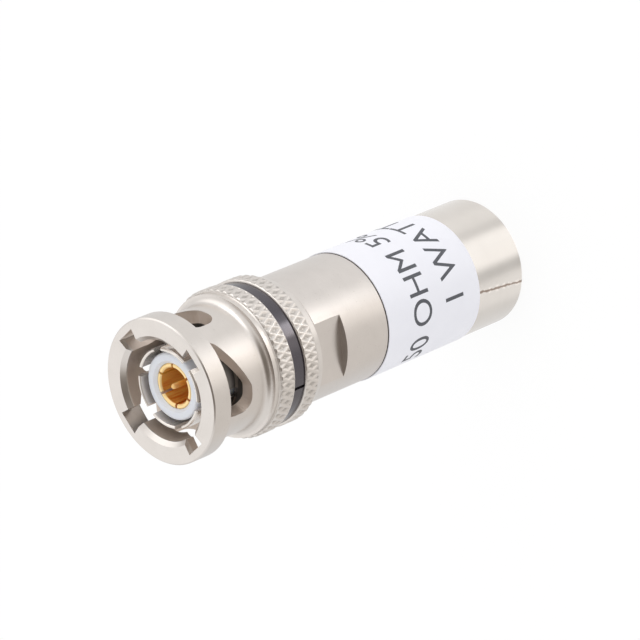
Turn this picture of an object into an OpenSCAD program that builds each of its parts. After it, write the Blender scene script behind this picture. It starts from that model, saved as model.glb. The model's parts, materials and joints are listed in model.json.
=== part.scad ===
// Triaxial terminator: a bayonet plug whose sealed body holds one load resistor.
// It stands on the flat rear end of its housing, mating face up, with the
// wrench flats facing +X and -X. All sizes are in millimetres.

/* [Overall] */
// Length from the flat rear end to the mating face
total_l = 43.2; // [43:0.1:44]
// Diameter of the round body
tube_d = 12.7; // [12.6:0.1:13]
// Distance across the two wrench flats
flats_w = 11.1; // [10.8:0.1:11.6]
// Facets of a full turn
facets = 96; // [48:12:144]

/* [Coupling nut] */
// Length of the nut
nut_l = 14.5; // [14.4:0.1:14.6]
// Diameter of the front rim
rim_d = 14.1; // [14:0.1:14.4]
// Length of the front rim
rim_l = 2.2; // [2:0.1:2.4]
// Diameter of the slotted barrel
barrel_d = 12.3; // [12.1:0.1:12.5]
// Diameter of the plain lip in front of the knurl
lip_d = 13.9; // [13.8:0.1:14]
// Diameter over the knurl
knurl_d = 14.5; // [14.4:0.1:14.8]
// Length of each of the two knurled bands
knurl_l = 1.72; // [1.6:0.02:1.8]
// Diameter of the smooth rear lip at its rear edge
rear_lip_d = 13.5; // [13.3:0.1:13.6]
// Bore of the nut around the outer contact
nut_bore_d = 9.8; // [9.7:0.05:9.9]

/* [Bayonet channels] */
// Number of bayonet channels
channels = 4; // [2:1:4]
// Width of a channel's entry notch
notch_w = 2.3; // [2.1:0.1:2.4]
// Width of the ramp and of the locking pocket
channel_w = 2.58; // [2.4:0.02:2.6]
// Diameter at which a channel ends outward
channel_d = 12.7; // [12.5:0.1:12.9]
// Direction of the first entry notch, seen from the mating face
channel_a = 40.5; // [30:0.5:50]
// Turn from the entry notch to the end of the ramp
ramp_turn = 42; // [40:0.5:48]
// Depth of the ramp's start behind the mating face
ramp_start = 2.25; // [2.15:0.05:2.5]
// Depth of the ramp's end behind the mating face
ramp_end = 4.45; // [4.4:0.05:4.7]
// Turn from the ramp's end to the locking pocket
pocket_turn = 9.2; // [8:0.2:11]
// How far the locking pocket reaches back toward the mating face
pocket_rise = 0.73; // [0.65:0.01:0.9]

/* [Color band] */
// Width of the band between the knurls
band_w = 1.46; // [1.4:0.02:1.6]
// Outer diameter of the band
band_d = 14.0; // [13.8:0.1:14.2]
// Depth of the groove below the knurl
groove_depth = 0.7; // [0.5:0.05:0.8]
// Width of the band's open joint
band_split = 0.3; // [0.2:0.05:0.5]
// Direction of the band's open joint
band_split_a = -14; // [-20:1:-8]

/* [Contacts] */
// Outside diameter of the outer contact's fingers
outer_contact_d = 7.9; // [7.8:0.05:8]
// Wall of the outer contact's fingers
outer_finger_t = 0.35; // [0.3:0.05:0.4]
// Width of the slots between the outer fingers
outer_slot_w = 0.96; // [0.8:0.02:1]
// Outside diameter of the intermediate contact
middle_contact_d = 4.4; // [4.3:0.05:4.5]
// Wall of the intermediate contact
middle_wall = 0.43; // [0.35:0.01:0.45]
// Width of the slots in the intermediate contact
middle_slot_w = 0.25; // [0.2:0.01:0.3]
// Number of fingers on each slotted contact
fingers = 6; // [4:1:6]
// Diameter of the center pin
pin_d = 0.52; // [0.5:0.02:0.56]
// Diameter of the white insulator's front end
insulator_d = 6.5; // [6.4:0.05:6.6]

/* [Label] */
// Length of the label along the body
label_l = 12.8; // [12:0.1:12.8]
// Thickness of the label
label_t = 0.1; // [0.08:0.01:0.14]

/* [Load resistor] */
// Diameter of the resistor's end caps
cap_d = 3.7; // [3.4:0.1:3.8]
// Diameter of the resistor's ceramic core
core_d = 3.1; // [2.8:0.1:3.2]
// Diameter of the resistor's leads
lead_d = 0.6; // [0.5:0.05:0.6]

/* [Hidden] */
$fn = facets;
// Overlap that makes a cut pass clean through a face
eps = 0.1;
// Radial clearance of a running fit
fit = 0.07;
// Clearance on the diameter of parts that are slipped in and stay
slip = 0.04;

// Heights of the nut's features, measured up from the rear end
nut_z = total_l - nut_l;
knurl_2_z = nut_z + 1.04;
groove_z = knurl_2_z + knurl_l;
knurl_1_z = groove_z + band_w;
lip_z = knurl_1_z + knurl_l;
flare_z = lip_z + 0.65;
flare_r = (lip_d - barrel_d) / 2;
rim_z = total_l - rim_l;

// Outer contact: fingers, flange that carries the spring, and neck
contact_tip_z = total_l - 0.94;
contact_root_z = total_l - 6.0;
outer_slot_a = 45;
flange_top_z = total_l - 7.2;
flange_z = flange_top_z - 1.8;
flange_d = nut_bore_d - 2 * fit;
// Seat on which the gasket sits, and the conical foot where the fingers rise from it
gasket_seat_d = 8.24;
gasket_l = 1.3;
foot_z = flange_top_z + gasket_l;
neck_d = 8.4;
neck_z = 26;
neck_bore_d = 6.6;

// Nut shoulder, held between the spring and the hub of the front body
shoulder_top_z = 32.15;
shoulder_z = 30.3;
hub_gap = 0.05;
hub_d = 11.3;

// Spring stack between the flange and the nut's shoulder
washer_t = 0.25;
washer_in_d = neck_d + 2 * fit;
washer_out_d = nut_bore_d - 2 * fit;
stack_gap = 0.02;
spring_t = 0.2;
spring_in_d = 8.7;
spring_out_d = 9.5;
spring_waves = 3;
spring_steps = 72;

// Front body and rear housing
front_body_z = 19.5;
front_body_top_z = nut_z - 0.2;
flats_z = 25.03;
stack_bore_d = 10;
joint_d = 11.2;
joint_top_z = 23;
// Fine groove left open where the front body meets the rear housing
joint_groove_w = 0.13;
joint_groove_d = 12.1;
housing_bore_d = 10.1;
housing_floor = 1.5;
rear_round = 0.5;
edge = 0.12;
liner_bore_d = 9.4;
liner_l = 20.5;
disc_t = 0.5;

// Insulators and inner contacts
insulator_tip_z = total_l - 1.5;
insulator_body_d = neck_bore_d - slip / 2;
insulator_z = 27;
middle_tip_z = total_l - 1.76;
middle_slot_z = total_l - 6.4;
middle_slot_a = 31;
middle_bore_d = middle_contact_d - 2 * middle_wall;
tail_d = 4.8;
tail_z = 22.8;
rear_insulator_l = 1.9;
inner_insulator_z = 28;
inner_insulator_top_z = total_l - 6.6;
pin_tip_z = total_l - 1.51;
pin_root_d = 1;
cup_d = 1.5;
cup_bore_d = lead_d + 0.1;
cup_z = 22.6;

// Load resistor, hung on the axis by its leads
resistor_z = 8;
resistor_l = 9;
cap_l = 1.6;
cap_wall = (cap_d - core_d) / 2;
solder_gap = 0.05;
lead_offset = tail_d / 2 + solder_gap + lead_d / 2;
bend_z = 6.4;
lead_top_z = 24;
sleeve_wall = 0.2;
sleeve_l = 15.4;

// Turned profile: a polygon in the half plane, spun about the axis
module turned(points) {
    rotate_extrude() polygon(points);
}

// Plain ring with its faces square to the axis
module ring(outer_d, inner_d, z, h) {
    translate([0, 0, z]) difference() {
        cylinder(d = outer_d, h = h);
        translate([0, 0, -eps]) cylinder(d = inner_d, h = h + 2 * eps);
    }
}

// Straight slots cut down from the tip of a tube, evenly round it
module finger_slots(count, width, first_a, z_low, z_high, reach) {
    for (i = [0 : count - 1])
        rotate([0, 0, first_a + i * 360 / count])
            translate([0, -width / 2, z_low])
                cube([reach, width, z_high - z_low]);
}

// Point at a distance run round the channel's outer wall and a depth behind the mating face
function channel_point(p, r) =
    let (a = -p[0] / channel_d * 2 * 180 / PI)
    [r * cos(a), r * sin(a), total_l - p[1]];

function unit(a) = [cos(a), sin(a)];

function mix(a, b, t) = a + (b - a) * t;

// Cutter for one bayonet channel: entry notch, sloping ramp and the locking pocket.
// Its outline is drawn flat as two rails, in run and depth, and wrapped round the axis.
module channel_cutter() {
    w = channel_w / 2;
    half_notch = notch_w / 2;
    inner_r = nut_bore_d / 2 - 0.6;
    outer_r = channel_d / 2;
    run = ramp_turn * PI / 180 * outer_r;
    entry = [w - half_notch, ramp_start];
    bend = [run, ramp_end];
    slope = atan2(ramp_end - ramp_start, run - entry[0]);
    pocket = bend + [pocket_turn * PI / 180 * outer_r, 0];
    rest = pocket - [0, pocket_rise];
    front = unit(slope - 90);
    // How far the locking pocket stands forward of the ramp, and where the two outlines meet
    stand = (rest - bend) * front;
    meet = slope - 90 - acos((w - stand) / w);
    front_start = [half_notch, ramp_start + (half_notch - entry[0]) * tan(slope) - w / cos(slope)];
    front_end = rest + w * unit(meet);
    rear_rail = concat(
        [[-half_notch, -eps]],
        [for (i = [0 : 6]) entry + w * unit(mix(180, 90 + slope, i / 6))],
        [for (i = [1 : 10]) mix(entry, bend, i / 10) - w * front],
        [for (i = [1 : 3]) bend + w * unit(mix(90 + slope, 90, i / 4))],
        [for (i = [0 : 9]) pocket + w * unit(90 - 10 * i)]);
    front_rail = concat(
        [[half_notch, -eps]],
        [for (i = [0 : 14]) mix(front_start, front_end, i / 14)],
        [for (i = [1 : 15]) rest + w * unit(mix(meet, 0, i / 15))]);
    last = len(rear_rail) - 1;
    points = [for (i = [0 : last]) for (rail = [rear_rail, front_rail])
        for (r = [inner_r, outer_r]) channel_point(rail[i], r)];
    // Corners of a station in turn: rear inner, front inner, front outer, rear outer
    order = [0, 2, 3, 1];
    walls = [for (i = [0 : last - 1]) for (j = [0 : 3])
        let (a = 4 * i + order[j], b = 4 * i + order[(j + 1) % 4])
        each [[a, b, b + 4], [a, b + 4, a + 4]]];
    ends = [[for (k = [3 : -1 : 0]) order[k]], [for (k = [0 : 3]) 4 * last + order[k]]];
    polyhedron(points, concat(walls, ends));
}

// Coupling nut: slotted barrel with a rim in front and two knurled bands behind
module coupling_nut() {
    r_rim = rim_d / 2;
    r_barrel = barrel_d / 2;
    r_lip = lip_d / 2;
    r_knurl = knurl_d / 2;
    r_groove = r_knurl - groove_depth;
    r_bore = nut_bore_d / 2;
    r_back = hub_d / 2 + fit;
    knurl_edge = 0.14;
    lead_in = 0.42;
    // Concave flare from the barrel up to the lip
    flare = [for (a = [0 : 9 : 90]) [r_lip - flare_r * sin(a), flare_z + flare_r * (1 - cos(a))]];
    color("gainsboro") difference() {
        turned(concat([
            [r_back, nut_z],
            [rear_lip_d / 2 - edge, nut_z],
            [rear_lip_d / 2, nut_z + edge],
            [rear_lip_d / 2 + 0.2, knurl_2_z - knurl_edge],
            [r_knurl, knurl_2_z],
            [r_knurl, groove_z],
            [r_groove, groove_z],
            [r_groove, knurl_1_z],
            [r_knurl, knurl_1_z],
            [r_knurl, lip_z],
            [r_lip, lip_z + knurl_edge]
        ], flare, [
            [r_barrel, rim_z],
            [r_rim - edge, rim_z],
            [r_rim, rim_z + edge],
            [r_rim, total_l - edge],
            [r_rim - edge, total_l],
            [r_bore + lead_in, total_l],
            [r_bore, total_l - lead_in],
            [r_bore, shoulder_top_z],
            [neck_d / 2 + fit, shoulder_top_z],
            [neck_d / 2 + fit, shoulder_z],
            [r_back, shoulder_z]
        ]));
        for (i = [0 : channels - 1])
            rotate([0, 0, channel_a + i * 360 / channels]) channel_cutter();
    }
}

// Dark split band snapped into the groove between the knurls
module color_band() {
    color("#4b4850") difference() {
        ring(band_d, knurl_d - 2 * groove_depth, groove_z, band_w);
        rotate([0, 0, band_split_a])
            translate([0, -band_split / 2, groove_z - eps])
                cube([band_d, band_split, band_w + 2 * eps]);
    }
}

// Steel washer that the wave spring pushes against, under the outer contact's flange
module front_thrust_washer() {
    color("silver")
        ring(washer_out_d, washer_in_d, flange_z - stack_gap - washer_t, washer_t);
}

// Steel washer between the wave spring and the nut's shoulder
module rear_thrust_washer() {
    color("silver")
        ring(washer_out_d, washer_in_d, shoulder_top_z, washer_t);
}

// Wave spring: a flat ring bent into waves that touch both washers in turn
module wave_spring() {
    low = shoulder_top_z + washer_t + stack_gap;
    high = flange_z - 2 * stack_gap - washer_t;
    mid = (low + high) / 2;
    swing = (high - low - spring_t) / 2;
    corners = [[spring_in_d / 2, -spring_t / 2], [spring_out_d / 2, -spring_t / 2],
        [spring_out_d / 2, spring_t / 2], [spring_in_d / 2, spring_t / 2]];
    points = [for (i = [0 : spring_steps - 1]) for (c = corners)
        let (a = i * 360 / spring_steps)
        [c[0] * cos(a), c[0] * sin(a), mid + swing * cos(spring_waves * a) + c[1]]];
    count = 4 * spring_steps;
    sides = [for (i = [0 : spring_steps - 1]) for (j = [0 : 3])
        [4 * i + (j + 1) % 4, 4 * i + j, (4 * i + 4 + j) % count,
            (4 * i + 4 + (j + 1) % 4) % count]];
    color("lightgray") polyhedron(points, sides);
}

// Sealing ring that the mating jack's front edge presses on
module gasket() {
    color("#403c38") ring(flange_d, gasket_seat_d, flange_top_z, gasket_l);
}

// Outer contact: six spring fingers, a flange and the neck that the nut turns on
module outer_contact() {
    r_out = outer_contact_d / 2;
    r_in = r_out - outer_finger_t;
    r_seat = gasket_seat_d / 2;
    color("gainsboro") difference() {
        turned([
            [neck_bore_d / 2, neck_z],
            [neck_d / 2, neck_z],
            [neck_d / 2, flange_z],
            [flange_d / 2, flange_z],
            [flange_d / 2, flange_top_z],
            [r_seat, flange_top_z],
            [r_seat, foot_z],
            [r_out, foot_z + r_seat - r_out],
            [r_out, contact_tip_z - edge],
            [r_out - edge, contact_tip_z],
            [r_in + 0.08, contact_tip_z],
            [r_in, contact_tip_z - 0.08],
            [r_in, contact_root_z - 0.5],
            [neck_bore_d / 2, contact_root_z - 0.8]
        ]);
        finger_slots(fingers, outer_slot_w, outer_slot_a, contact_root_z, contact_tip_z + eps, r_seat + eps);
    }
}

// White outer insulator, which holds the intermediate contact inside the outer one
module outer_insulator() {
    step_z = contact_root_z - 0.8;
    round_r = 0.25;
    countersink = 0.28;
    r_hole = (middle_contact_d + slip) / 2;
    r = insulator_d / 2;
    nose = [for (a = [0 : 15 : 90])
        [r - round_r + round_r * cos(a), insulator_tip_z - round_r + round_r * sin(a)]];
    color("white") turned(concat([
        [r_hole, insulator_z],
        [insulator_body_d / 2, insulator_z],
        [insulator_body_d / 2, step_z],
        [r, step_z + 0.1]
    ], nose, [
        [r_hole + countersink, insulator_tip_z],
        [r_hole, insulator_tip_z - countersink]
    ]));
}

// Intermediate contact: gold sleeve with six narrow slots, a collar and a solder tail
module intermediate_contact() {
    r_out = middle_contact_d / 2;
    r_in = middle_bore_d / 2;
    collar_d = 5.8;
    color("goldenrod") difference() {
        turned([
            [r_in, tail_z],
            [tail_d / 2, tail_z],
            [tail_d / 2, neck_z],
            [collar_d / 2, neck_z],
            [collar_d / 2, insulator_z],
            [r_out, insulator_z],
            [r_out, middle_tip_z - 0.1],
            [r_out - 0.1, middle_tip_z],
            [r_in + 0.12, middle_tip_z],
            [r_in, middle_tip_z - 0.12]
        ]);
        finger_slots(fingers, middle_slot_w, middle_slot_a, middle_slot_z, middle_tip_z + eps, r_out + eps);
    }
}

// Inner insulator: the bead that centers the pin inside the intermediate contact
module inner_insulator() {
    color("ivory") ring(middle_bore_d - slip / 2, pin_root_d + slip / 2, inner_insulator_z,
        inner_insulator_top_z - inner_insulator_z);
}

// Center contact: round-nosed pin, thicker root, stop collar and solder cup
module center_contact() {
    r = pin_d / 2;
    nose = [for (a = [0 : 15 : 75]) [r * cos(a), pin_tip_z - r + r * sin(a)]];
    collar_z = inner_insulator_z - 1.2;
    color("gold") difference() {
        turned(concat([
            [0, cup_z],
            [cup_d / 2, cup_z],
            [cup_d / 2, collar_z],
            [0.9, collar_z],
            [0.9, inner_insulator_z],
            [pin_root_d / 2, inner_insulator_z],
            [pin_root_d / 2, inner_insulator_top_z],
            [r, inner_insulator_top_z]
        ], nose, [[0, pin_tip_z]]));
        translate([0, 0, cup_z - eps]) cylinder(d = cup_bore_d, h = 2 + eps);
    }
}

// Rear insulator, pressed against the intermediate contact's collar
module rear_insulator() {
    color("ivory")
        ring(stack_bore_d - slip, tail_d + slip, neck_z - rear_insulator_l, rear_insulator_l);
}

// Clamp ring that holds the insulators in the front body
module clamp_ring() {
    top_z = neck_z - rear_insulator_l;
    color("silver") difference() {
        ring(stack_bore_d, 7.2, joint_top_z, top_z - joint_top_z);
        for (a = [0, 90]) rotate([0, 0, a])
            translate([-stack_bore_d / 2, -0.5, joint_top_z - eps])
                cube([stack_bore_d, 1, 0.5 + eps]);
    }
}

// Front body: tube with two wrench flats, a hub in front and a socket for the housing
module front_body() {
    r = tube_d / 2;
    top = front_body_top_z;
    color("gainsboro") difference() {
        turned([
            [joint_d / 2, front_body_z],
            [r, front_body_z],
            [r, top - edge],
            [r - edge, top],
            [hub_d / 2, top],
            [hub_d / 2, shoulder_z - hub_gap],
            [neck_d / 2, shoulder_z - hub_gap],
            [neck_d / 2, neck_z],
            [stack_bore_d / 2, neck_z],
            [stack_bore_d / 2, joint_top_z],
            [joint_d / 2, joint_top_z]
        ]);
        for (side = [-1, 1])
            translate([side * (flats_w / 2 + r) - r, -r, flats_z])
                cube([2 * r, 2 * r, top - flats_z + eps]);
    }
}

// Rear housing: closed cup with a rounded end and a spigot pressed into the front body
module rear_housing() {
    r = tube_d / 2;
    spigot_top = joint_top_z - 0.05;
    rounding = [for (a = [-90 : 15 : 0])
        [r - rear_round + rear_round * cos(a), rear_round + rear_round * sin(a)]];
    color("gainsboro") turned(concat([[0, 0]], rounding, [
        [r, front_body_z - joint_groove_w],
        [joint_groove_d / 2, front_body_z - joint_groove_w],
        [joint_groove_d / 2, front_body_z],
        [joint_d / 2, front_body_z],
        [joint_d / 2, spigot_top],
        [housing_bore_d / 2, spigot_top],
        [housing_bore_d / 2, housing_floor],
        [0, housing_floor]
    ]));
}

// Paper label wrapped round the housing
module label() {
    color("white")
        ring(tube_d + 2 * label_t, tube_d, front_body_z - joint_groove_w - label_l, label_l);
}

// Insulating tube that lines the housing
module housing_liner() {
    color("#d9c9a0")
        ring(housing_bore_d - slip, liner_bore_d, housing_floor + disc_t, liner_l);
}

// Insulating disc on the housing's floor
module insulating_disc() {
    color("#d9c9a0") translate([0, 0, housing_floor])
        cylinder(d = housing_bore_d - slip, h = disc_t);
}

// Ceramic core of the load resistor, with its film
module resistor_core() {
    color("#3f7fa0") translate([0, 0, resistor_z + cap_wall])
        cylinder(d = core_d, h = resistor_l - 2 * cap_wall);
}

// Metal cap pressed over one end of the core, opening upward from its floor at z = 0
module end_cap() {
    difference() {
        cylinder(d = cap_d, h = cap_l);
        translate([0, 0, cap_wall]) cylinder(d = core_d, h = cap_l);
    }
}

// Cap at the front end of the resistor
module resistor_front_cap() {
    color("silver") translate([0, 0, resistor_z + resistor_l]) mirror([0, 0, 1]) end_cap();
}

// Cap at the rear end of the resistor
module resistor_rear_cap() {
    color("silver") translate([0, 0, resistor_z]) end_cap();
}

// Straight lead from the resistor into the solder cup of the center contact
module front_lead() {
    color("#c98b4e") translate([0, 0, resistor_z + resistor_l])
        cylinder(d = lead_d, h = cup_z + 1.9 - resistor_z - resistor_l);
}

// Lead that turns back from the rear cap to the tail of the intermediate contact
module return_lead() {
    color("#c98b4e") union() {
        translate([0, 0, bend_z]) cylinder(d = lead_d, h = resistor_z - bend_z);
        translate([0, lead_offset / 2, bend_z])
            rotate([0, 90, 0]) rotate([0, 0, 90])
                rotate_extrude(angle = -180)
                    translate([lead_offset / 2, 0]) circle(d = lead_d, $fn = 24);
        translate([0, lead_offset, bend_z]) cylinder(d = lead_d, h = lead_top_z - bend_z);
    }
}

// Insulating sleeve on the returning lead
module lead_sleeve() {
    color("#e8e4d8") translate([0, lead_offset, 0])
        ring(lead_d + 2 * sleeve_wall, lead_d, bend_z + 0.6, sleeve_l);
}

// Solder that joins the returning lead to the intermediate contact's tail
module solder_bead() {
    color("lightgray") difference() {
        translate([0, lead_offset, lead_top_z - 0.8]) sphere(r = 0.6, $fn = 32);
        translate([0, lead_offset, 0]) cylinder(d = lead_d, h = total_l);
        cylinder(d = tail_d, h = total_l);
    }
}

coupling_nut();
color_band();
front_thrust_washer();
wave_spring();
rear_thrust_washer();
gasket();
outer_contact();
outer_insulator();
intermediate_contact();
inner_insulator();
center_contact();
rear_insulator();
clamp_ring();
front_body();
rear_housing();
label();
housing_liner();
insulating_disc();
resistor_core();
resistor_front_cap();
resistor_rear_cap();
front_lead();
return_lead();
lead_sleeve();
solder_bead();
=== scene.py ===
"""Looks of the triaxial terminator: finishes, knurl, label and studio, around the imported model."""
import json
import math
from functools import cached_property

import bmesh
import bpy
import numpy as np
from mathutils import Matrix, Vector


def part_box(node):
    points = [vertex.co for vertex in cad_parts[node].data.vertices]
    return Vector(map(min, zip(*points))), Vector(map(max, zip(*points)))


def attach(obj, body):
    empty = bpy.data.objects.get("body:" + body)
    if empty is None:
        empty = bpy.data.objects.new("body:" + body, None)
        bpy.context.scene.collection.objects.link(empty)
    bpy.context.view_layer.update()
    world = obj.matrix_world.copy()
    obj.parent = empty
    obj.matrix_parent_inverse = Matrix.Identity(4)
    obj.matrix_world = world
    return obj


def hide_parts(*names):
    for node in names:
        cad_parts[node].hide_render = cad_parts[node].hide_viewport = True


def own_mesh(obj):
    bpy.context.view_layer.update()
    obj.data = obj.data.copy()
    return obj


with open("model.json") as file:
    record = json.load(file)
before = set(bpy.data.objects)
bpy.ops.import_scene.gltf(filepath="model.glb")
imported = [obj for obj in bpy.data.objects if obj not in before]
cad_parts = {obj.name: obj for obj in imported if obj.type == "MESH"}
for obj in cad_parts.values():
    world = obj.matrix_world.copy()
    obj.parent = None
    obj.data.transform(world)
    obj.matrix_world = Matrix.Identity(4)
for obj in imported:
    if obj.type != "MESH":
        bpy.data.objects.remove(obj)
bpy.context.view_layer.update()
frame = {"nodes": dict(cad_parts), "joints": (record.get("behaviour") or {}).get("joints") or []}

MM = 0.001
TURN = 2 * math.pi
SHARP_ANGLE = math.radians(28)
WHITE = (1, 1, 1, 1)

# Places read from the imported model, in metres
NUT_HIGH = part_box("coupling_nut")[1]
BAND_LOW, BAND_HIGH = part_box("color_band")
LABEL_LOW, LABEL_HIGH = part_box("label")
CONTACT_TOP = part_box("intermediate_contact")[1]
FLANGE_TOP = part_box("gasket")[0]
KNURL_R = NUT_HIGH.x
TUBE_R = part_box("rear_housing")[1].x

# Camera of the photograph, round the standing part
CAMERA_AZIMUTH = 26.43
CAMERA_ELEVATION = 41.62
CAMERA_ROLL = -112.57
CAMERA_DISTANCE = 378.9 * MM
CAMERA_AIM = Vector((-0.32, 0.37, 21.74)) * MM
CAMERA_LENS = 225
CAMERA_SENSOR = 36
CAMERA_NEAR = 10 * MM
CAMERA_FAR = 5

# Sockets of a Mix node that take the share and two colors, and the one that gives the color
MIX_INPUTS = (0, 6, 7)
MIX_OUTPUT = 2


class Wire:
    """One output in a node tree. Arithmetic on wires and numbers adds Math nodes."""

    def __init__(self, finish, socket):
        self.finish = finish
        self.socket = socket

    def __add__(self, other):
        return self.finish.math_node("ADD", self, other)

    def __sub__(self, other):
        return self.finish.math_node("SUBTRACT", self, other)

    def __mul__(self, other):
        return self.finish.math_node("MULTIPLY", self, other)

    def __truediv__(self, other):
        return self.finish.math_node("DIVIDE", self, other)

    def __pow__(self, other):
        return self.finish.math_node("POWER", self, other)

    def __rsub__(self, other):
        return self.finish.math_node("SUBTRACT", other, self)

    def __rtruediv__(self, other):
        return self.finish.math_node("DIVIDE", other, self)

    __radd__ = __add__
    __rmul__ = __mul__

    def magnitude(self):
        return self.finish.math_node("ABSOLUTE", self)

    def clamped(self):
        return self.finish.node("ShaderNodeClamp", {}, self)

    def swing(self, width):
        """A noise between 0 and 1, made to swing about 0 within this width."""
        return (self - 0.5) * width

    def over(self, low, high):
        """0 below low, 1 above high and a smooth step between; low may be the higher one."""
        return self.finish.node(
            "ShaderNodeMapRange", {"interpolation_type": "SMOOTHSTEP"}, self, low, high, 0.0, 1.0)


class Finish:
    """A node tree being written, with one method that adds any node and a few for common ones.
    The place of a point, in Object coordinates, comes as place, where, radius and angle."""

    def __init__(self, name, kind="materials"):
        self.owner = getattr(bpy.data, kind).new(name)
        self.owner.use_nodes = True
        self.tree = self.owner.node_tree
        self.tree.nodes.clear()

    def node(self, kind, settings, *inputs, output=0, **named):
        """Adds a node: settings first, then its inputs by order or by name, with _ for a space.
        Returns one output as a wire, or the node if it has none."""
        made = self.tree.nodes.new(kind)
        for key, value in settings.items():
            setattr(made, key, value)
        for place, value in enumerate(inputs):
            self.feed(made, place, value)
        for name, value in named.items():
            self.feed(made, name.replace("_", " "), value)
        return Wire(self, made.outputs[output]) if made.outputs else made

    def feed(self, made, place, value):
        """Links a wire to an input of a node, or sets that input to a number or color."""
        socket = made.inputs[place]
        if isinstance(value, Wire):
            self.tree.links.new(value.socket, socket)
        else:
            socket.default_value = value

    def outputs(self, wire, *names):
        """Named outputs of the node that a wire comes from."""
        return [Wire(self, wire.socket.node.outputs[name]) for name in names]

    def math_node(self, operation, *values):
        return self.node("ShaderNodeMath", {"operation": operation}, *values)

    @cached_property
    def place(self):
        """Object coordinates in millimetres, as three wires."""
        coords = self.node("ShaderNodeTexCoord", {}, output="Object")
        split = self.node("ShaderNodeSeparateXYZ", {}, coords)
        return [part * (1 / MM) for part in self.outputs(split, "X", "Y", "Z")]

    @cached_property
    def where(self):
        """Object coordinates in millimetres, as one vector."""
        return self.vector(*self.place)

    @cached_property
    def radius(self):
        """Distance from the part's axis in millimetres."""
        x, y, _ = self.place
        return (x * x + y * y) ** 0.5

    @cached_property
    def angle(self):
        """Angle round the part's axis in radians, from +X."""
        x, y, _ = self.place
        return self.math_node("ARCTAN2", y, x)

    def toward(self, degrees):
        """Millimetres from the axis in one direction, given as an angle round it from +X."""
        x, y, _ = self.place
        return x * math.cos(math.radians(degrees)) + y * math.sin(math.radians(degrees))

    def rays(self):
        """1 for a ray from the camera, from a shiny surface and through a clear one, as wires."""
        path = self.node("ShaderNodeLightPath", {})
        return self.outputs(path, "Is Camera Ray", "Is Glossy Ray", "Is Transmission Ray")

    def vector(self, x, y, z):
        return self.node("ShaderNodeCombineXYZ", {}, x, y, z)

    def stretched(self, across, along):
        """Place for a pattern drawn out into rings or fibres: x and y by one factor, then along."""
        x, y, _ = self.place
        return self.vector(x * across, y * across, along)

    def noise(self, where, scale, detail=2.0, roughness=0.5):
        return self.node("ShaderNodeTexNoise", {}, Vector=where, Scale=scale, Detail=detail,
                         Roughness=roughness)

    def mix(self, share, first, second):
        """Color between first and second by share."""
        mixed = self.node("ShaderNodeMix", {"data_type": "RGBA"}, output=MIX_OUTPUT)
        for place, value in zip(MIX_INPUTS, (share, first, second)):
            self.feed(mixed.socket.node, place, value)
        return mixed

    def bump(self, height, depth_mm, strength=0.5):
        return self.node("ShaderNodeBump", {}, Height=height, Distance=depth_mm * MM,
                         Strength=strength, output="Normal")

    def surface(self, shader):
        self.node("ShaderNodeOutputMaterial", {}, shader)
        return self.owner

    def principled(self, **inputs):
        return self.surface(self.node("ShaderNodeBsdfPrincipled", {}, **inputs))


def rgba(red, green, blue):
    """Color from eight-bit display values, as linear light, by the sRGB curve."""
    def linear(value):
        share = value / 255
        return share / 12.92 if share <= 0.04045 else ((share + 0.055) / 1.055) ** 2.4
    return (linear(red), linear(green), linear(blue), 1.0)


# Turned metal: lathe lines per millimetre, their slow drift round the axis, what lines, grain and
# pits do to the height, and the tones of pits, of the painted warm shade on milled metal and of
# the painted shade in recesses
LATHE_PITCH = 9.0
LATHE_DRIFT = 0.12
LINE_HEIGHT = 0.7
GRAIN_HEIGHT = 0.3
PIT_DEPTH = 0.5
PIT_NOISE = (0.69, 0.76)
PIT_TONE = (150, 138, 128)
PIT_SHARE = 0.18
MILLED_SHADE_TONE = (206, 188, 173)
MILLED_SHADE_SHARE = 0.6
MILLED_ROUGHNESS = 0.2
GREY_SHADE_TONE = (132, 129, 124)


def turned_patterns(finish, cloud_scale):
    """Noises of a turned surface: lathe lines round the axis, a soft cloud and a fine grain."""
    along = finish.place[2] * LATHE_PITCH + finish.radius * LATHE_PITCH
    rings = finish.stretched(LATHE_DRIFT, along)
    lines = finish.noise(rings, scale=1.6, detail=3.0, roughness=0.6)
    cloud = finish.noise(finish.where, cloud_scale, detail=3.0, roughness=0.55)
    grain = finish.noise(finish.where, scale=9.0, detail=2.0, roughness=0.6)
    return lines, cloud, grain


def turned_nickel(name, light, dark, rough, depth_mm=0.004, mottle=0.35, metal=1.0,
                  shape=None, shade_tone=GREY_SHADE_TONE):
    """Nickel plate over a turned surface: fine lathe lines round the axis, soft mottling and tiny
    pits. shape takes radius and height in millimetres and returns the shares of milled metal,
    which is rougher and painted with a warm shade, and of painted shade in recesses."""
    finish = Finish(name)
    lines, cloud, grain = turned_patterns(finish, cloud_scale=0.45)
    pits = finish.noise(finish.where, scale=5.0, detail=1.0).over(*PIT_NOISE)
    tone = cloud.swing(mottle) * 2.0 + grain.swing(0.25) + lines.swing(0.35) + 0.5
    color = finish.mix(tone.clamped(), rgba(*dark), rgba(*light))
    color = finish.mix(pits * PIT_SHARE, color, rgba(*PIT_TONE))
    roughness = cloud.swing(0.08) + lines.swing(0.1) + grain.swing(0.06) + rough
    if shape:
        milled, recess_shade = shape(finish.radius, finish.place[2])
        roughness = roughness + milled * MILLED_ROUGHNESS
        # Painted shade: milled metal is tinted a darker warm tone, and recesses darker still
        color = finish.mix(milled * MILLED_SHADE_SHARE, color, rgba(*MILLED_SHADE_TONE))
        color = finish.mix(recess_shade, color, rgba(*shade_tone))
    height = lines * LINE_HEIGHT + grain * GRAIN_HEIGHT - pits * PIT_DEPTH
    return finish.principled(Base_Color=color, Metallic=metal, Roughness=roughness,
                             Normal=finish.bump(height, depth_mm))


def body_nickel():
    return turned_nickel("nickel_body", light=(222, 216, 211), dark=(202, 196, 191), rough=0.32)


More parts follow.
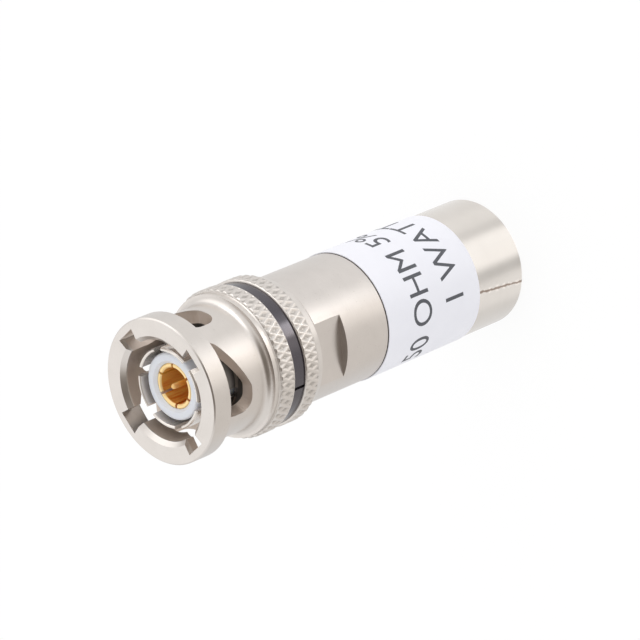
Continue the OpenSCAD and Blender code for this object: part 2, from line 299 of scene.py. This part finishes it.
# Steps on the nut, in millimetres: in from the barrel's skin, down from its face, along the knurl
# from the groove's edges, and down from the knurl's crest
SKIN_R = (6.16, 6.05)
BELOW_FACE = (0.5, 0.6)
KNURL_START = (0.06, 0.12)
KNURL_END = (1.75, 1.65)
BELOW_CREST = (0.02, 0.19)
# Share of the painted shade between the knurl's ridges
KNURL_SHADE = 0.65


def nut_shape(radius, z):
    """Milled inside the barrel's skin and below the face; painted shade between the ridges of the
    knurl, below its crest.
    """
    top, crest = NUT_HIGH.z / MM, KNURL_R / MM
    milled = radius.over(*SKIN_R) * z.over(top - BELOW_FACE[0], top - BELOW_FACE[1])
    middle, half = (BAND_HIGH.z + BAND_LOW.z) / 2 / MM, (BAND_HIGH.z - BAND_LOW.z) / 2 / MM
    from_groove = (z - middle).magnitude() - half
    knurled = from_groove.over(*KNURL_START) * from_groove.over(*KNURL_END)
    sunk = radius.over(crest - BELOW_CREST[0], crest - BELOW_CREST[1])
    return milled, knurled * sunk * KNURL_SHADE


def nut_nickel():
    return turned_nickel("nickel_nut", light=(225, 219, 214), dark=(204, 198, 192), rough=0.31,
                         shape=nut_shape)


# The scuff along the rear tube, in millimetres and radians: where it fades below the label, its
# middle line's place, lean and wander round the tube, its width, and steps across it as shares of
# that width
SCUFF_END_Z = (6.9, 6.5)
SCUFF_LEAN_Z = 6.7
SCUFF_LEAN = 0.0158
SCUFF_ANGLE = 0.0297
SCUFF_WANDER = 0.06
SCUFF_WIDTH = 0.01
SCUFF_WIDER = 0.22
SCUFF_EDGE = (0.5, 1.2)
SCUFF_TONE = (124, 100, 84)
SCUFF_SHARE = 0.75
# Painted highlight beside the scuff: its fade across, in shares of the width, noise, tone, share
SCUFF_HIGHLIGHT_EDGE = (1.2, 3.2)
SCUFF_HIGHLIGHT_NOISE = (0.45, 0.6)
SCUFF_HIGHLIGHT_TONE = (240, 233, 226)
SCUFF_HIGHLIGHT_SHARE = 0.7


def housing_nickel():
    """Brighter nickel of the rear tube, with the fine dark scuff that runs along it and a painted
    highlight, lighter metal, beside the scuff."""
    finish = Finish("nickel_housing")
    z = finish.place[2]
    lines, cloud, grain = turned_patterns(finish, cloud_scale=0.4)
    tone = cloud.swing(0.5) + lines.swing(0.3) + grain.swing(0.2) + 0.5
    color = finish.mix(tone.clamped(), rgba(203, 197, 191), rgba(224, 219, 213))

    def along(seed, scale, detail=2.0):
        """Noise that changes only along the tube; each seed gives another one."""
        return finish.noise(finish.vector(*seed, z), scale, detail)

    wander = along((0.0, 0.0), scale=1.4).swing(SCUFF_WANDER)
    middle = (z - SCUFF_LEAN_Z) * SCUFF_LEAN - SCUFF_ANGLE + wander
    gap = (finish.angle - middle).magnitude() * (TUBE_R / MM)
    width = along((3.0, 1.0), scale=2.2) * SCUFF_WIDER + SCUFF_WIDTH
    scuff = (1.0 - (gap / width).over(*SCUFF_EDGE)) * z.over(*SCUFF_END_Z)
    # Painted highlight in patches along the scuff
    patches = along((5.0, 2.0), scale=1.6, detail=1.0).over(*SCUFF_HIGHLIGHT_NOISE)
    scuff_highlight = (1.0 - (gap / width).over(*SCUFF_HIGHLIGHT_EDGE)) * patches * z.over(*SCUFF_END_Z)
    color = finish.mix(scuff_highlight * SCUFF_HIGHLIGHT_SHARE, color, rgba(*SCUFF_HIGHLIGHT_TONE))
    color = finish.mix(scuff * SCUFF_SHARE, color, rgba(*SCUFF_TONE))
    roughness = cloud.swing(0.06) + lines.swing(0.08) + scuff * 0.2 + 0.22
    height = lines * LINE_HEIGHT + grain * GRAIN_HEIGHT - scuff
    return finish.principled(Base_Color=color, Metallic=1.0, Roughness=roughness,
                             Normal=finish.bump(height, 0.004))


# Millimetres in front of the gasket over which the painted shade fades, and its strength
ROOT_SHADE_END = (2.3, 1.5)
ROOT_SHADE_SHARE = 0.85


def contact_shape(radius, z):
    """Nothing milled; painted shade at the fingers' roots and on the flange, deep in the recess."""
    root = FLANGE_TOP.z / MM
    return radius * 0.0, z.over(root + ROOT_SHADE_END[0], root + ROOT_SHADE_END[1]) * ROOT_SHADE_SHARE


def bright_nickel():
    # Dark brown tone of the painted shade at the fingers' roots
    return turned_nickel("nickel_contact", light=(236, 230, 224), dark=(216, 208, 201), rough=0.2,
                         depth_mm=0.003, mottle=0.25, metal=0.7, shape=contact_shape,
                         shade_tone=(64, 54, 46))


# Gold: side painted lighter, as lit, in degrees from +X, and how much per millimetre; drawn lines
# per radian round the axis and their changes per millimetre along it
LIT_SIDE = 150
LIT_SIDE_SHARE = 0.35
DRAWN_LINES = 7.0
DRAWN_CHANGES = 0.4
# Tone of the painted highlight at the tips
TIP_HIGHLIGHT_TONE = (255, 226, 166)


def gold_plate(name="gold", dark=(234, 150, 54), light=(255, 218, 122), rough=0.5, metal=0.66,
               tip_highlight=(0.22, 0.06)):
    """Satin gold plate: deep orange with drawn lines along the axis, and a painted highlight, a
    lighter tone, toward the tips; its span is given in millimetres below the top of the gold sleeve,
    where it starts and where it is full."""
    finish = Finish(name)
    tip = CONTACT_TOP.z / MM
    z = finish.place[2]
    strands = finish.vector(finish.angle * DRAWN_LINES, z * DRAWN_CHANGES, 0.0)
    drawn = finish.noise(strands, scale=1.0)
    cloud = finish.noise(finish.where, scale=1.2)
    # Painted light: the gold is lighter toward one side
    lit_side = finish.toward(LIT_SIDE) * LIT_SIDE_SHARE
    tone = drawn.swing(3.0) + cloud.swing(0.6) + lit_side + 0.5
    color = finish.mix(tone.clamped(), rgba(*dark), rgba(*light))
    # Painted highlight: lighter toward the tips
    color = finish.mix(z.over(tip - tip_highlight[0], tip - tip_highlight[1]), color, rgba(*TIP_HIGHLIGHT_TONE))
    return finish.principled(Base_Color=color, Metallic=metal, Roughness=drawn.swing(0.2) + rough,
                             Normal=finish.bump(drawn, 0.01))


def gold_pin():
    # On the pin the painted highlight covers the tip and about a millimetre below it, its lit part
    return gold_plate("gold_pin", dark=(255, 206, 100), light=(255, 226, 130), rough=0.9,
                      metal=0.8, tip_highlight=(1.0, -0.2))


def white_fluoropolymer():
    """Smooth white insulator, faintly cool, with a little light coming through it."""
    finish = Finish("white_insulator")
    cloud = finish.noise(finish.where, scale=0.9)
    grain = finish.noise(finish.where, scale=7.0)
    color = finish.mix(cloud, rgba(222, 225, 232), rgba(233, 236, 242))
    return finish.principled(Base_Color=color, Roughness=cloud.swing(0.1) + 0.38,
                             Subsurface_Weight=0.25, Subsurface_Scale=1.0,
                             Subsurface_Radius=(0.5 * MM, 0.5 * MM, 0.6 * MM),
                             Normal=finish.bump(grain, 0.003, strength=0.4))


# Dark band: its lines per millimetre, their drift round it, and pale specks
BAND_PITCH = 7.0
BAND_DRIFT = 0.1
SPECK_NOISE = (0.66, 0.76)
SPECK_TONE = (120, 116, 118)
SPECK_SHARE = 0.4


def dark_band_plastic():
    """Dark grey split band, fine lines round it and a soft sheen."""
    finish = Finish("dark_band")
    rings = finish.stretched(BAND_DRIFT, finish.place[2] * BAND_PITCH)
    lines = finish.noise(rings, scale=1.5)
    cloud = finish.noise(finish.where, scale=0.8, detail=3.0)
    specks = finish.noise(finish.where, scale=6.0).over(*SPECK_NOISE)
    color = finish.mix(cloud, rgba(31, 28, 34), rgba(43, 39, 46))
    color = finish.mix(specks * SPECK_SHARE, color, rgba(*SPECK_TONE))
    return finish.principled(Base_Color=color, Roughness=lines.swing(0.06) + 0.12, IOR=1.75,
                             Specular_Tint=(1.0, 0.93, 1.0, 1.0),
                             Normal=finish.bump(lines, 0.002))


def label_film():
    """White label film: nearly even, faintly cool, slightly wavy under its gloss."""
    finish = Finish("label_film")
    cloud = finish.noise(finish.where, scale=0.35)
    fibre = finish.noise(finish.where, scale=6.0, detail=3.0)
    color = finish.mix(cloud, rgba(236, 236, 243), rgba(243, 243, 249))
    return finish.principled(Base_Color=color, Roughness=fibre.swing(0.1) + 0.42,
                             Normal=finish.bump(cloud * 0.9 + fibre * 0.1, 0.02, strength=0.4))


def label_print():
    """Dark grey thermal print with a slightly uneven density."""
    finish = Finish("label_print")
    density = finish.noise(finish.where, scale=5.0, detail=3.0)
    color = finish.mix(density, rgba(66, 68, 74), rgba(92, 94, 100))
    return finish.principled(Base_Color=color, Roughness=density.swing(0.1) + 0.5)


def spring_steel():
    return turned_nickel("spring_steel", light=(200, 198, 194), dark=(168, 164, 158), rough=0.24,
                         depth_mm=0.002, mottle=0.2)


def silicone():
    """Matte dark sealing rubber with a dusty bloom."""
    finish = Finish("silicone")
    bloom = finish.noise(finish.where, scale=2.5, detail=3.0)
    color = finish.mix(bloom, rgba(42, 36, 31), rgba(58, 52, 46))
    return finish.principled(Base_Color=color, Roughness=bloom.swing(0.2) + 0.6,
                             Normal=finish.bump(bloom, 0.01))


def liner_film():
    """Tan insulating paper with short fibres along the axis."""
    finish = Finish("liner")
    fibre = finish.noise(finish.stretched(4.0, finish.place[2]), scale=2.0, detail=3.0)
    color = finish.mix(fibre, rgba(196, 172, 122), rgba(224, 204, 160))
    return finish.principled(Base_Color=color, Roughness=fibre.swing(0.2) + 0.65,
                             Normal=finish.bump(fibre, 0.01))


def resistor_lacquer():
    """Blue lacquer that has run unevenly over the ceramic."""
    finish = Finish("resistor_lacquer")
    run = finish.noise(finish.where, scale=1.5)
    color = finish.mix(run, rgba(44, 104, 142), rgba(74, 140, 176))
    return finish.principled(Base_Color=color, Roughness=run.swing(0.1) + 0.25,
                             Normal=finish.bump(run, 0.02))


def tinned_metal():
    return turned_nickel("tinned", light=(206, 206, 204), dark=(174, 174, 172), rough=0.28,
                         depth_mm=0.003, mottle=0.4)


FINISHES = {
    body_nickel: ("front_body",),
    housing_nickel: ("rear_housing",),
    bright_nickel: ("outer_contact", "clamp_ring"),
    gold_plate: ("intermediate_contact",),
    gold_pin: ("center_contact",),
    white_fluoropolymer: ("outer_insulator", "inner_insulator", "rear_insulator", "lead_sleeve"),
    dark_band_plastic: ("color_band",),
    spring_steel: ("front_thrust_washer", "rear_thrust_washer"),
    silicone: ("gasket",),
    liner_film: ("housing_liner", "insulating_disc"),
    resistor_lacquer: ("resistor_core",),
    tinned_metal: ("resistor_front_cap", "resistor_rear_cap", "front_lead", "return_lead",
                   "solder_bead"),
}


def dress(obj, material):
    obj.data.materials.clear()
    obj.data.materials.append(material)


def dress_nodes():
    """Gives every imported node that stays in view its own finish."""
    for make, names in FINISHES.items():
        material = make()
        for name in names:
            dress(frame["nodes"][name], material)


def add_to_scene(name, data):
    """New object for a mesh, curve, lamp or camera."""
    added = bpy.data.objects.new(name, data)
    bpy.context.scene.collection.objects.link(added)
    return added


def new_piece(name, mesh, material, body):
    piece = add_to_scene(name, mesh)
    dress(piece, material)
    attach(piece, body)
    return piece


def round_axis(radius, angle, z):
    """Points at these radii, angles and heights round the part's axis, as a grid of x, y, z."""
    return np.stack([radius * np.cos(angle), radius * np.sin(angle), z], axis=-1)


def grid_mesh(name, points, smooth=True):
    """Closed mesh of quads over a grid of points that wraps both ways, rows by columns by 3."""
    rows, columns = points.shape[:2]
    index = np.arange(rows * columns).reshape(rows, columns)
    below = np.roll(index, -1, axis=0)
    quads = np.stack([index, below, np.roll(below, -1, axis=1), np.roll(index, -1, axis=1)],
                     axis=-1)
    mesh = bpy.data.meshes.new(name)
    mesh.from_pydata(points.reshape(-1, 3).tolist(), [], quads.reshape(-1, 4).tolist())
    mesh.polygons.foreach_set("use_smooth", np.full(rows * columns, smooth))
    mesh.update()
    return mesh


def points_of(mesh):
    """Vertices of a mesh as rows of x, y, z."""
    flat = np.empty(len(mesh.vertices) * 3)
    mesh.vertices.foreach_get("co", flat)
    return flat.reshape(-1, 3)


def move_points(mesh, points):
    mesh.vertices.foreach_set("co", points.ravel())
    mesh.update()


def smooth_by_angle(work):
    """Smooth faces, with the edges marked sharp where faces meet at more than the sharp angle."""
    for face in work.faces:
        face.smooth = True
    for joint in work.edges:
        joint.smooth = joint.calc_face_angle(0.0) < SHARP_ANGLE


# Knurl: two crossing sets of ridges, one sunken diamond across each band
KNURL_CELLS = 50
KNURL_CELL_STEPS = 18
KNURL_BAND_STEPS = 49
KNURL_DEPTH = 0.19 * MM
KNURL_ROOT_R = KNURL_R - 0.24 * MM
KNURL_INNER_R = KNURL_R - 0.5 * MM
KNURL_L = 1.72 * MM
LAND_L = 0.16 * MM
LAND_START = 0.4
RIDGE_FLAT = 1.15
BEAD_HEIGHT = 0.5
BEAD_START = 1.2
BEAD_WIDTH = 0.5
BEVEL_DEPTH = 0.1 * MM
OUTER_BEVEL_L = 0.12 * MM
GROOVE_BEVEL_L = 0.1 * MM


def knurl_mesh(name, groove_z, outer_z):
    """Knurled sleeve between its groove edge and its outer edge. With w = cells*a/turn + h and
    cells*a/turn - h, where h runs from 0 to 1 across the band, each ridge is 1 - 2|w - round(w)|
    and the height is the larger of the two, flattened on top, with a low bead left by the tool
    where both are small. A smooth land runs along the groove edge, both edges are bevelled,
    and the section closes inside the nut."""
    around = KNURL_CELLS * KNURL_CELL_STEPS
    low, high = sorted((groove_z, outer_z))
    angle = np.linspace(0, TURN, around, endpoint=False)[:, None]
    z = np.linspace(low, high, KNURL_BAND_STEPS)[None, :]
    across = (z - low) / (high - low)
    ridges = []
    for lean in (1, -1):
        wave = KNURL_CELLS * angle / TURN + lean * across
        ridges.append(1 - 2 * np.abs(wave - np.round(wave)))
    bead = BEAD_HEIGHT * np.clip(BEAD_START - (ridges[0] + ridges[1]) / BEAD_WIDTH, 0, 1)
    height = np.clip(np.maximum(np.maximum(*ridges) * RIDGE_FLAT, bead), 0, 1)
    off_land = np.clip(np.abs(z - groove_z) / LAND_L - LAND_START, 0, 1)
    height = 1 - (1 - height) * off_land
    outer_bevel = np.clip(1 - np.abs(z - outer_z) / OUTER_BEVEL_L, 0, 1)
    groove_bevel = np.clip(1 - np.abs(z - groove_z) / GROOVE_BEVEL_L, 0, 1)
    bevels = outer_bevel * BEVEL_DEPTH + groove_bevel * BEVEL_DEPTH
    radius = KNURL_R - np.maximum(KNURL_DEPTH * (1 - height), bevels)
    radius = np.concatenate([radius, np.full((around, 2), KNURL_INNER_R)], axis=1)
    z = np.concatenate([np.broadcast_to(z, (around, KNURL_BAND_STEPS)),
                        np.full((around, 1), high), np.full((around, 1), low)], axis=1)
    return grid_mesh(name, round_axis(radius, angle, z))


SAME_POINT = 0.5e-6
CREST_MARGIN = 0.03 * MM


def merged_copy(node, name):
    """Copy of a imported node's mesh with its loose triangles joined and sharp edges marked."""
    mesh = frame["nodes"][node].data.copy()
    mesh.name = name
    work = bmesh.new()
    work.from_mesh(mesh)
    bmesh.ops.remove_doubles(work, verts=work.verts, dist=SAME_POINT)
    bmesh.ops.dissolve_degenerate(work, edges=work.edges, dist=SAME_POINT)
    smooth_by_angle(work)
    work.to_mesh(mesh)
    work.free()
    if "custom_normal" in mesh.attributes:
        mesh.attributes.remove(mesh.attributes["custom_normal"])
    return mesh


def coupling_nut(material):
    """The nut without its plain knurl bands, which sink to the root of the real knurl."""
    mesh = merged_copy("coupling_nut", "nut_shell")
    points = points_of(mesh)
    radius = np.hypot(points[:, 0], points[:, 1])
    crest = radius > KNURL_R - CREST_MARGIN
    points[crest, :2] *= (KNURL_ROOT_R / radius[crest])[:, None]
    move_points(mesh, points)
    shell = new_piece("nut_shell", mesh, material, "nut")
    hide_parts("coupling_nut")
    bands = {"knurl_rear": (BAND_LOW.z, BAND_LOW.z - KNURL_L),
             "knurl_front": (BAND_HIGH.z, BAND_HIGH.z + KNURL_L)}
    for name, (groove_z, outer_z) in bands.items():
        new_piece(name, knurl_mesh(name, groove_z, outer_z), material, "nut")


SPRING_WAVES = 3
SPRING_STEPS = 144
SPRING_STRIP = 0.2 * MM
SPRING_CORNER = 0.04 * MM


def wave_spring(material):
    """Flat spring strip bent round the axis into waves that touch both washers in turn. Its
    section, a rectangle with cut corners, is carried round at height middle + swing*cos(waves*a)."""
    low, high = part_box("wave_spring")
    r_out, r_in = high.x, high.x - 2 * SPRING_STRIP
    half = SPRING_STRIP / 2
    cut = half - SPRING_CORNER
    radius = [r_out - SPRING_CORNER, r_out, r_out, r_out - SPRING_CORNER,
              r_in + SPRING_CORNER, r_in, r_in, r_in + SPRING_CORNER]
    rise = np.array([-half, -cut, cut, half, half, cut, -cut, -half])
    angle = np.linspace(0, TURN, SPRING_STEPS, endpoint=False)[:, None]
    swing = (high.z - low.z - SPRING_STRIP) / 2
    z = (low.z + high.z) / 2 + swing * np.cos(SPRING_WAVES * angle) + rise
    mesh = grid_mesh("spring_ring", round_axis(radius, angle, z), smooth=False)
    ring = new_piece("spring_ring", mesh, material, "spring_pack")
    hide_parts("wave_spring")
    travel = next(joint for joint in frame["joints"] if joint["name"] == "nut_slide")["range_m"][1]
    1 - travel / (high.z - low.z)
    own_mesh(ring)


# The label's film: in turns from where it starts, its end and the overlap's climb
LABEL_FILM_T = 0.09 * MM
LABEL_GLUE_T = 0.004 * MM
LABEL_START_A = math.radians(190)
LABEL_TURNS = 1.03
LABEL_CLIMB_START = 0.985
LABEL_CLIMB = 0.02
LABEL_STEPS = 300


def label_wrap(material):
    """Label film wound once round the tube with a short overlap. The film's four-cornered section
    is carried round at the tube's radius, and that radius climbs one film thickness, as a smooth
    step of the turn, over the last stretch."""
    turns = np.linspace(0, LABEL_TURNS, LABEL_STEPS)[:, None]
    angle = LABEL_START_A + turns * TURN
    climb = np.clip((turns - LABEL_CLIMB_START) / LABEL_CLIMB, 0, 1)
    base = TUBE_R + LABEL_GLUE_T + climb * climb * (3 - 2 * climb) * LABEL_FILM_T
    radius = base + np.array([0, 0, LABEL_FILM_T, LABEL_FILM_T])
    z = np.broadcast_to([LABEL_LOW.z, LABEL_HIGH.z, LABEL_HIGH.z, LABEL_LOW.z], radius.shape)
    rows = round_axis(radius, angle, z)
    index = np.arange(rows.size // 3).reshape(-1, 4)
    ahead = np.roll(index, -1, axis=1)
    sides = np.stack([index[:-1], ahead[:-1], ahead[1:], index[1:]], axis=-1).reshape(-1, 4)
    ends = np.stack([index[0, ::-1], index[-1]])
    mesh = bpy.data.meshes.new("label_wrap")
    mesh.from_pydata(rows.reshape(-1, 3).tolist(), [], np.concatenate([sides, ends]).tolist())
    work = bmesh.new()
    work.from_mesh(mesh)
    bmesh.ops.recalc_face_normals(work, faces=work.faces)
    smooth_by_angle(work)
    work.to_mesh(mesh)
    work.free()
    wrap = new_piece("label_wrap", mesh, material, "terminator")
    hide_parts("label")


# Print on the label: each line's words, height on the tube and first angle in degrees
PRINT_LINES = {
    "print_resistance": ("50 OHM 5%", 14.7 * MM, -52.0),
    "print_power": ("1 WATT", 10.2 * MM, -4.0),
}
PRINT_R = TUBE_R + 0.096 * MM
PRINT_T = 0.008 * MM
PRINT_HEIGHT = 2.6 * MM
PRINT_STRIP = 0.25 * MM
CAPITAL_SHARE = 0.72
PRINT_SAME_POINT = 0.2e-6
PRINT_CUT_MARGIN = 0.1e-6
PRINT_CURVE_STEPS = 6


def print_on_label(name, words, z, first_a, material):
    """One printed line: flat letters, cut into narrow upright strips and wrapped on the label.
    A flat point (x, y) goes to angle first + x/radius and height z + y."""
    curve = bpy.data.curves.new(name, "FONT")
    curve.body = words
    curve.size = PRINT_HEIGHT / CAPITAL_SHARE
    curve.extrude = PRINT_T
    curve.resolution_u = PRINT_CURVE_STEPS
    holder = add_to_scene(name + "_flat", curve)
    bpy.context.view_layer.update()
    depsgraph = bpy.context.evaluated_depsgraph_get()
    shape = bpy.data.meshes.new_from_object(holder.evaluated_get(depsgraph))
    bpy.data.objects.remove(holder)
    work = bmesh.new()
    work.from_mesh(shape)
    bmesh.ops.remove_doubles(work, verts=work.verts, dist=PRINT_SAME_POINT)
    end = max(v.co.x for v in work.verts)
    for x in np.arange(PRINT_STRIP, end, PRINT_STRIP):
        bmesh.ops.bisect_plane(work, geom=work.verts[:] + work.edges[:] + work.faces[:],
                               dist=PRINT_CUT_MARGIN, plane_co=(float(x), 0, 0),
                               plane_no=(1, 0, 0))
    mesh = bpy.data.meshes.new(name)
    work.to_mesh(mesh)
    work.free()
    flat = points_of(mesh)
    angle = math.radians(first_a) + flat[:, 0] / PRINT_R
    height = z - PRINT_HEIGHT / 2 + flat[:, 1]
    move_points(mesh, round_axis(PRINT_R + flat[:, 2], angle, height))
    new_piece(name, mesh, material, "terminator")


def print_label(material):
    for name, (words, z, first_a) in PRINT_LINES.items():
        print_on_label(name, words, z, first_a, material)


def direction(azimuth, elevation):
    """Unit vector from an azimuth, from +X round the axis, and an elevation, in degrees."""
    azimuth, elevation = math.radians(azimuth), math.radians(elevation)
    return Vector((math.cos(elevation) * math.cos(azimuth),
                   math.cos(elevation) * math.sin(azimuth), math.sin(elevation)))


def camera_axes():
    """Right, up and back of the camera, from its azimuth, elevation and roll."""
    roll = math.radians(CAMERA_ROLL)
    back = direction(CAMERA_AZIMUTH, CAMERA_ELEVATION)
    level_right = Vector((0, 0, 1)).cross(back).normalized()
    level_up = back.cross(level_right)
    right = level_right * math.cos(roll) + level_up * math.sin(roll)
    return right, back.cross(right), back


RIGHT, UP, BACK = camera_axes()


def frame_matrix(right, up, back, place):
    turn = Matrix((right, up, back)).transposed()
    return Matrix.Translation(place) @ turn.to_4x4()


def add_camera():
    data = bpy.data.cameras.new("photo_camera")
    data.lens = CAMERA_LENS
    data.sensor_width = CAMERA_SENSOR
    data.clip_start = CAMERA_NEAR
    data.clip_end = CAMERA_FAR
    camera = add_to_scene("photo_camera", data)
    camera.matrix_world = frame_matrix(RIGHT, UP, BACK, CAMERA_AIM + BACK * CAMERA_DISTANCE)
    bpy.context.scene.camera = camera


# Lamps: the right, up and back shares of each one's direction, in the camera's axes, and its power
LAMPS = {
    "front_panel": ((-0.916, -0.381, -0.118), 0.12),
    "top_panel": ((-0.2, 0.9, 0.4), 1.0),
}
LAMP_SIZE = 0.5
LAMP_DISTANCE = 0.6


def add_lamps():
    """Soft square lamps that face the part."""
    for name, (shares, power) in LAMPS.items():
        way = (RIGHT * shares[0] + UP * shares[1] + BACK * shares[2]).normalized()
        data = bpy.data.lights.new(name, "AREA")
        data.shape = "SQUARE"
        data.size = LAMP_SIZE
        data.energy = power
        side = UP.cross(way).normalized()
        lamp = add_to_scene(name, data)
        lamp.matrix_world = frame_matrix(side, way.cross(side), way,
                                         CAMERA_AIM + way * LAMP_DISTANCE)


# What metal sees on the floor. Rings are steps in millimetres from the axis. Lobes are given where
# the tube mirrors them: a middle from the camera's azimuth, a flat half width and a soft edge, in
# degrees. Light is what a zone adds to the floor's strength, and shade what it takes
NEAR_RING, NEAR_LIGHT = (22.0, 14.0), 0.08
MID_RINGS, MID_SHADE = ((22.0, 28.0), (42.0, 36.0)), 0.14
FAR_RINGS, FAR_LIGHT = ((38.0, 46.0), (54.0, 49.0)), 0.2
EDGE_RING, EDGE_SHADE = (49.0, 53.0), 0.07
CARD_LOBE, CARD_LIGHT = (5, 9, 11), 0.5
GLINT_RINGS = ((40.0, 41.5), (46.0, 44.5))
GLINT_LOBE, GLINT_LIGHT = (7, 3, 5), 4.6
RIGHT_LOBE, RIGHT_LIGHT = (36, 6, 14), 0.1
LEFT_LOBE, LEFT_LIGHT = (-35, 6, 14), 0.2
FAR_LEFT_LOBE, FAR_LEFT_LIGHT = (-36, 28, 10), 0.06
LEFT_GAP, LEFT_GAP_SHADE = (-15.5, 2, 7), 0.2
RIGHT_GAP, RIGHT_GAP_SHADE = (24.6, 2, 6), 0.12
WARM_LOBE, NEAR_COOL = (-26, 24, 14), 0.85
WARM_TINT = (1.0, 0.962, 0.92, 1)
BRIGHT_SIDE, BRIGHT_SIDE_LIGHT = 105, 0.06
FLOOR_LIGHT = 0.93
CAMERA_LIGHT = 1.02
GLOW_SHARE = 0.86
FLOOR_SIZE = 2.0


def add_floor():
    """Pale floor under the standing part. It shows near white and keeps a faint shadow. For shiny
    rays it glows in painted zones: brighter on the side of the main highlight, greyer on the far
    side and streaked close to the part, like white cards and dark gaps in a studio."""
    finish = Finish("floor")
    cloud = finish.noise(finish.where, scale=0.02)
    color = finish.mix(cloud, rgba(250, 250, 250), rgba(254, 254, 254))
    seen, shiny, through = finish.rays()
    direct = (seen + shiny + through).clamped()
    away = finish.radius
    # The tube mirrors a floor point at about this angle round it from the camera's azimuth
    facing = (finish.angle - math.radians(CAMERA_AZIMUTH)) / (2.0 - TUBE_R / MM / away)

    def lobe(middle, flat, soft):
        """1 within flat degrees of a middle direction, falling to 0 over the next soft degrees."""
        off = (facing - math.radians(middle)).magnitude()
        return off.over(math.radians(flat + soft), math.radians(flat))

    near = away.over(*NEAR_RING)
    mid = away.over(*MID_RINGS[0]) * away.over(*MID_RINGS[1])
    far = away.over(*FAR_RINGS[0]) * away.over(*FAR_RINGS[1])
    # A small painted glint on the floor, which the band shows as its highlight
    glint = lobe(*GLINT_LOBE) * away.over(*GLINT_RINGS[0]) * away.over(*GLINT_RINGS[1])
    tilt = finish.toward(BRIGHT_SIDE) / (away + 1.0)
    card = lobe(*CARD_LOBE) * (far * FAR_LIGHT - mid * MID_SHADE + CARD_LIGHT)
    card = card + glint * GLINT_LIGHT
    gaps = lobe(*LEFT_GAP) * LEFT_GAP_SHADE + lobe(*RIGHT_GAP) * RIGHT_GAP_SHADE
    shine = tilt * BRIGHT_SIDE_LIGHT + FLOOR_LIGHT + card + lobe(*RIGHT_LOBE) * RIGHT_LIGHT
    shine = shine + near * NEAR_LIGHT - away.over(*EDGE_RING) * EDGE_SHADE - near * gaps
    shine = shine + near * lobe(*LEFT_LOBE) * LEFT_LIGHT
    shine = shine + far * lobe(*FAR_LEFT_LOBE) * FAR_LEFT_LIGHT
    strength = shine * (1.0 - seen) + seen * CAMERA_LIGHT
    lit = finish.node("ShaderNodeBsdfDiffuse", {}, Color=color)
    warm = lobe(*WARM_LOBE) * (1.0 - seen) * (1.0 - near * NEAR_COOL)
    tint = finish.mix(warm, WHITE, WARM_TINT)
    glow = finish.node("ShaderNodeEmission", {}, Color=tint, Strength=strength)
    shader = finish.node("ShaderNodeMixShader", {}, direct * GLOW_SHARE, lit, glow)
    mesh = bpy.data.meshes.new("floor")
    corners = [(x * FLOOR_SIZE, y * FLOOR_SIZE, 0) for x, y in ((-1, -1), (1, -1), (1, 1), (-1, 1))]
    mesh.from_pydata(corners, [], [(0, 1, 2, 3)])
    floor = add_to_scene("floor", mesh)
    dress(floor, finish.surface(shader))


# Patches of the studio: azimuth and elevation, then the outer and inner edge in degrees
UNLIT_PATCH = (0, 42, 46, 24)
UNLIT_SHADE = 0.8
UNLIT_TINT = (1.0, 0.87, 0.74, 1)
WALL_CARD_PATCH = (130, 18, 34, 14)
WALL_CARD_LIGHT = 0.6
WORLD_LIGHT = 0.9


def add_world():
    """Even studio surround: white to the camera and to reflections, softer as a light. The open
    side of the studio, where nothing is lit, shows dark in reflections, and one card bright."""
    finish = Finish("studio", "worlds")
    bpy.context.scene.world = finish.owner
    seen, shiny, through = finish.rays()
    way = finish.node("ShaderNodeTexCoord", {}, output="Generated")

    def patch(azimuth, elevation, outer, inner):
        """1 within inner degrees of a direction, 0 beyond outer."""
        toward = finish.node("ShaderNodeVectorMath", {"operation": "DOT_PRODUCT"}, way,
                             direction(azimuth, elevation), output="Value")
        return toward.over(math.cos(math.radians(outer)), math.cos(math.radians(inner)))

    mirrored = (shiny + through).clamped()
    unlit = patch(*UNLIT_PATCH)
    look = 1.0 - unlit * UNLIT_SHADE + patch(*WALL_CARD_PATCH) * WALL_CARD_LIGHT
    strength = mirrored * look + seen + (1.0 - mirrored - seen) * WORLD_LIGHT
    tint = finish.mix(unlit * mirrored, WHITE, UNLIT_TINT)
    shader = finish.node("ShaderNodeBackground", {}, tint, strength)
    finish.node("ShaderNodeOutputWorld", {}, shader)


bpy.context.scene.view_settings.view_transform = "Standard"
add_camera()
add_world()
add_lamps()
add_floor()
dress_nodes()
coupling_nut(nut_nickel())
wave_spring(frame["nodes"]["front_thrust_washer"].active_material)
label_wrap(label_film())
print_label(label_print())
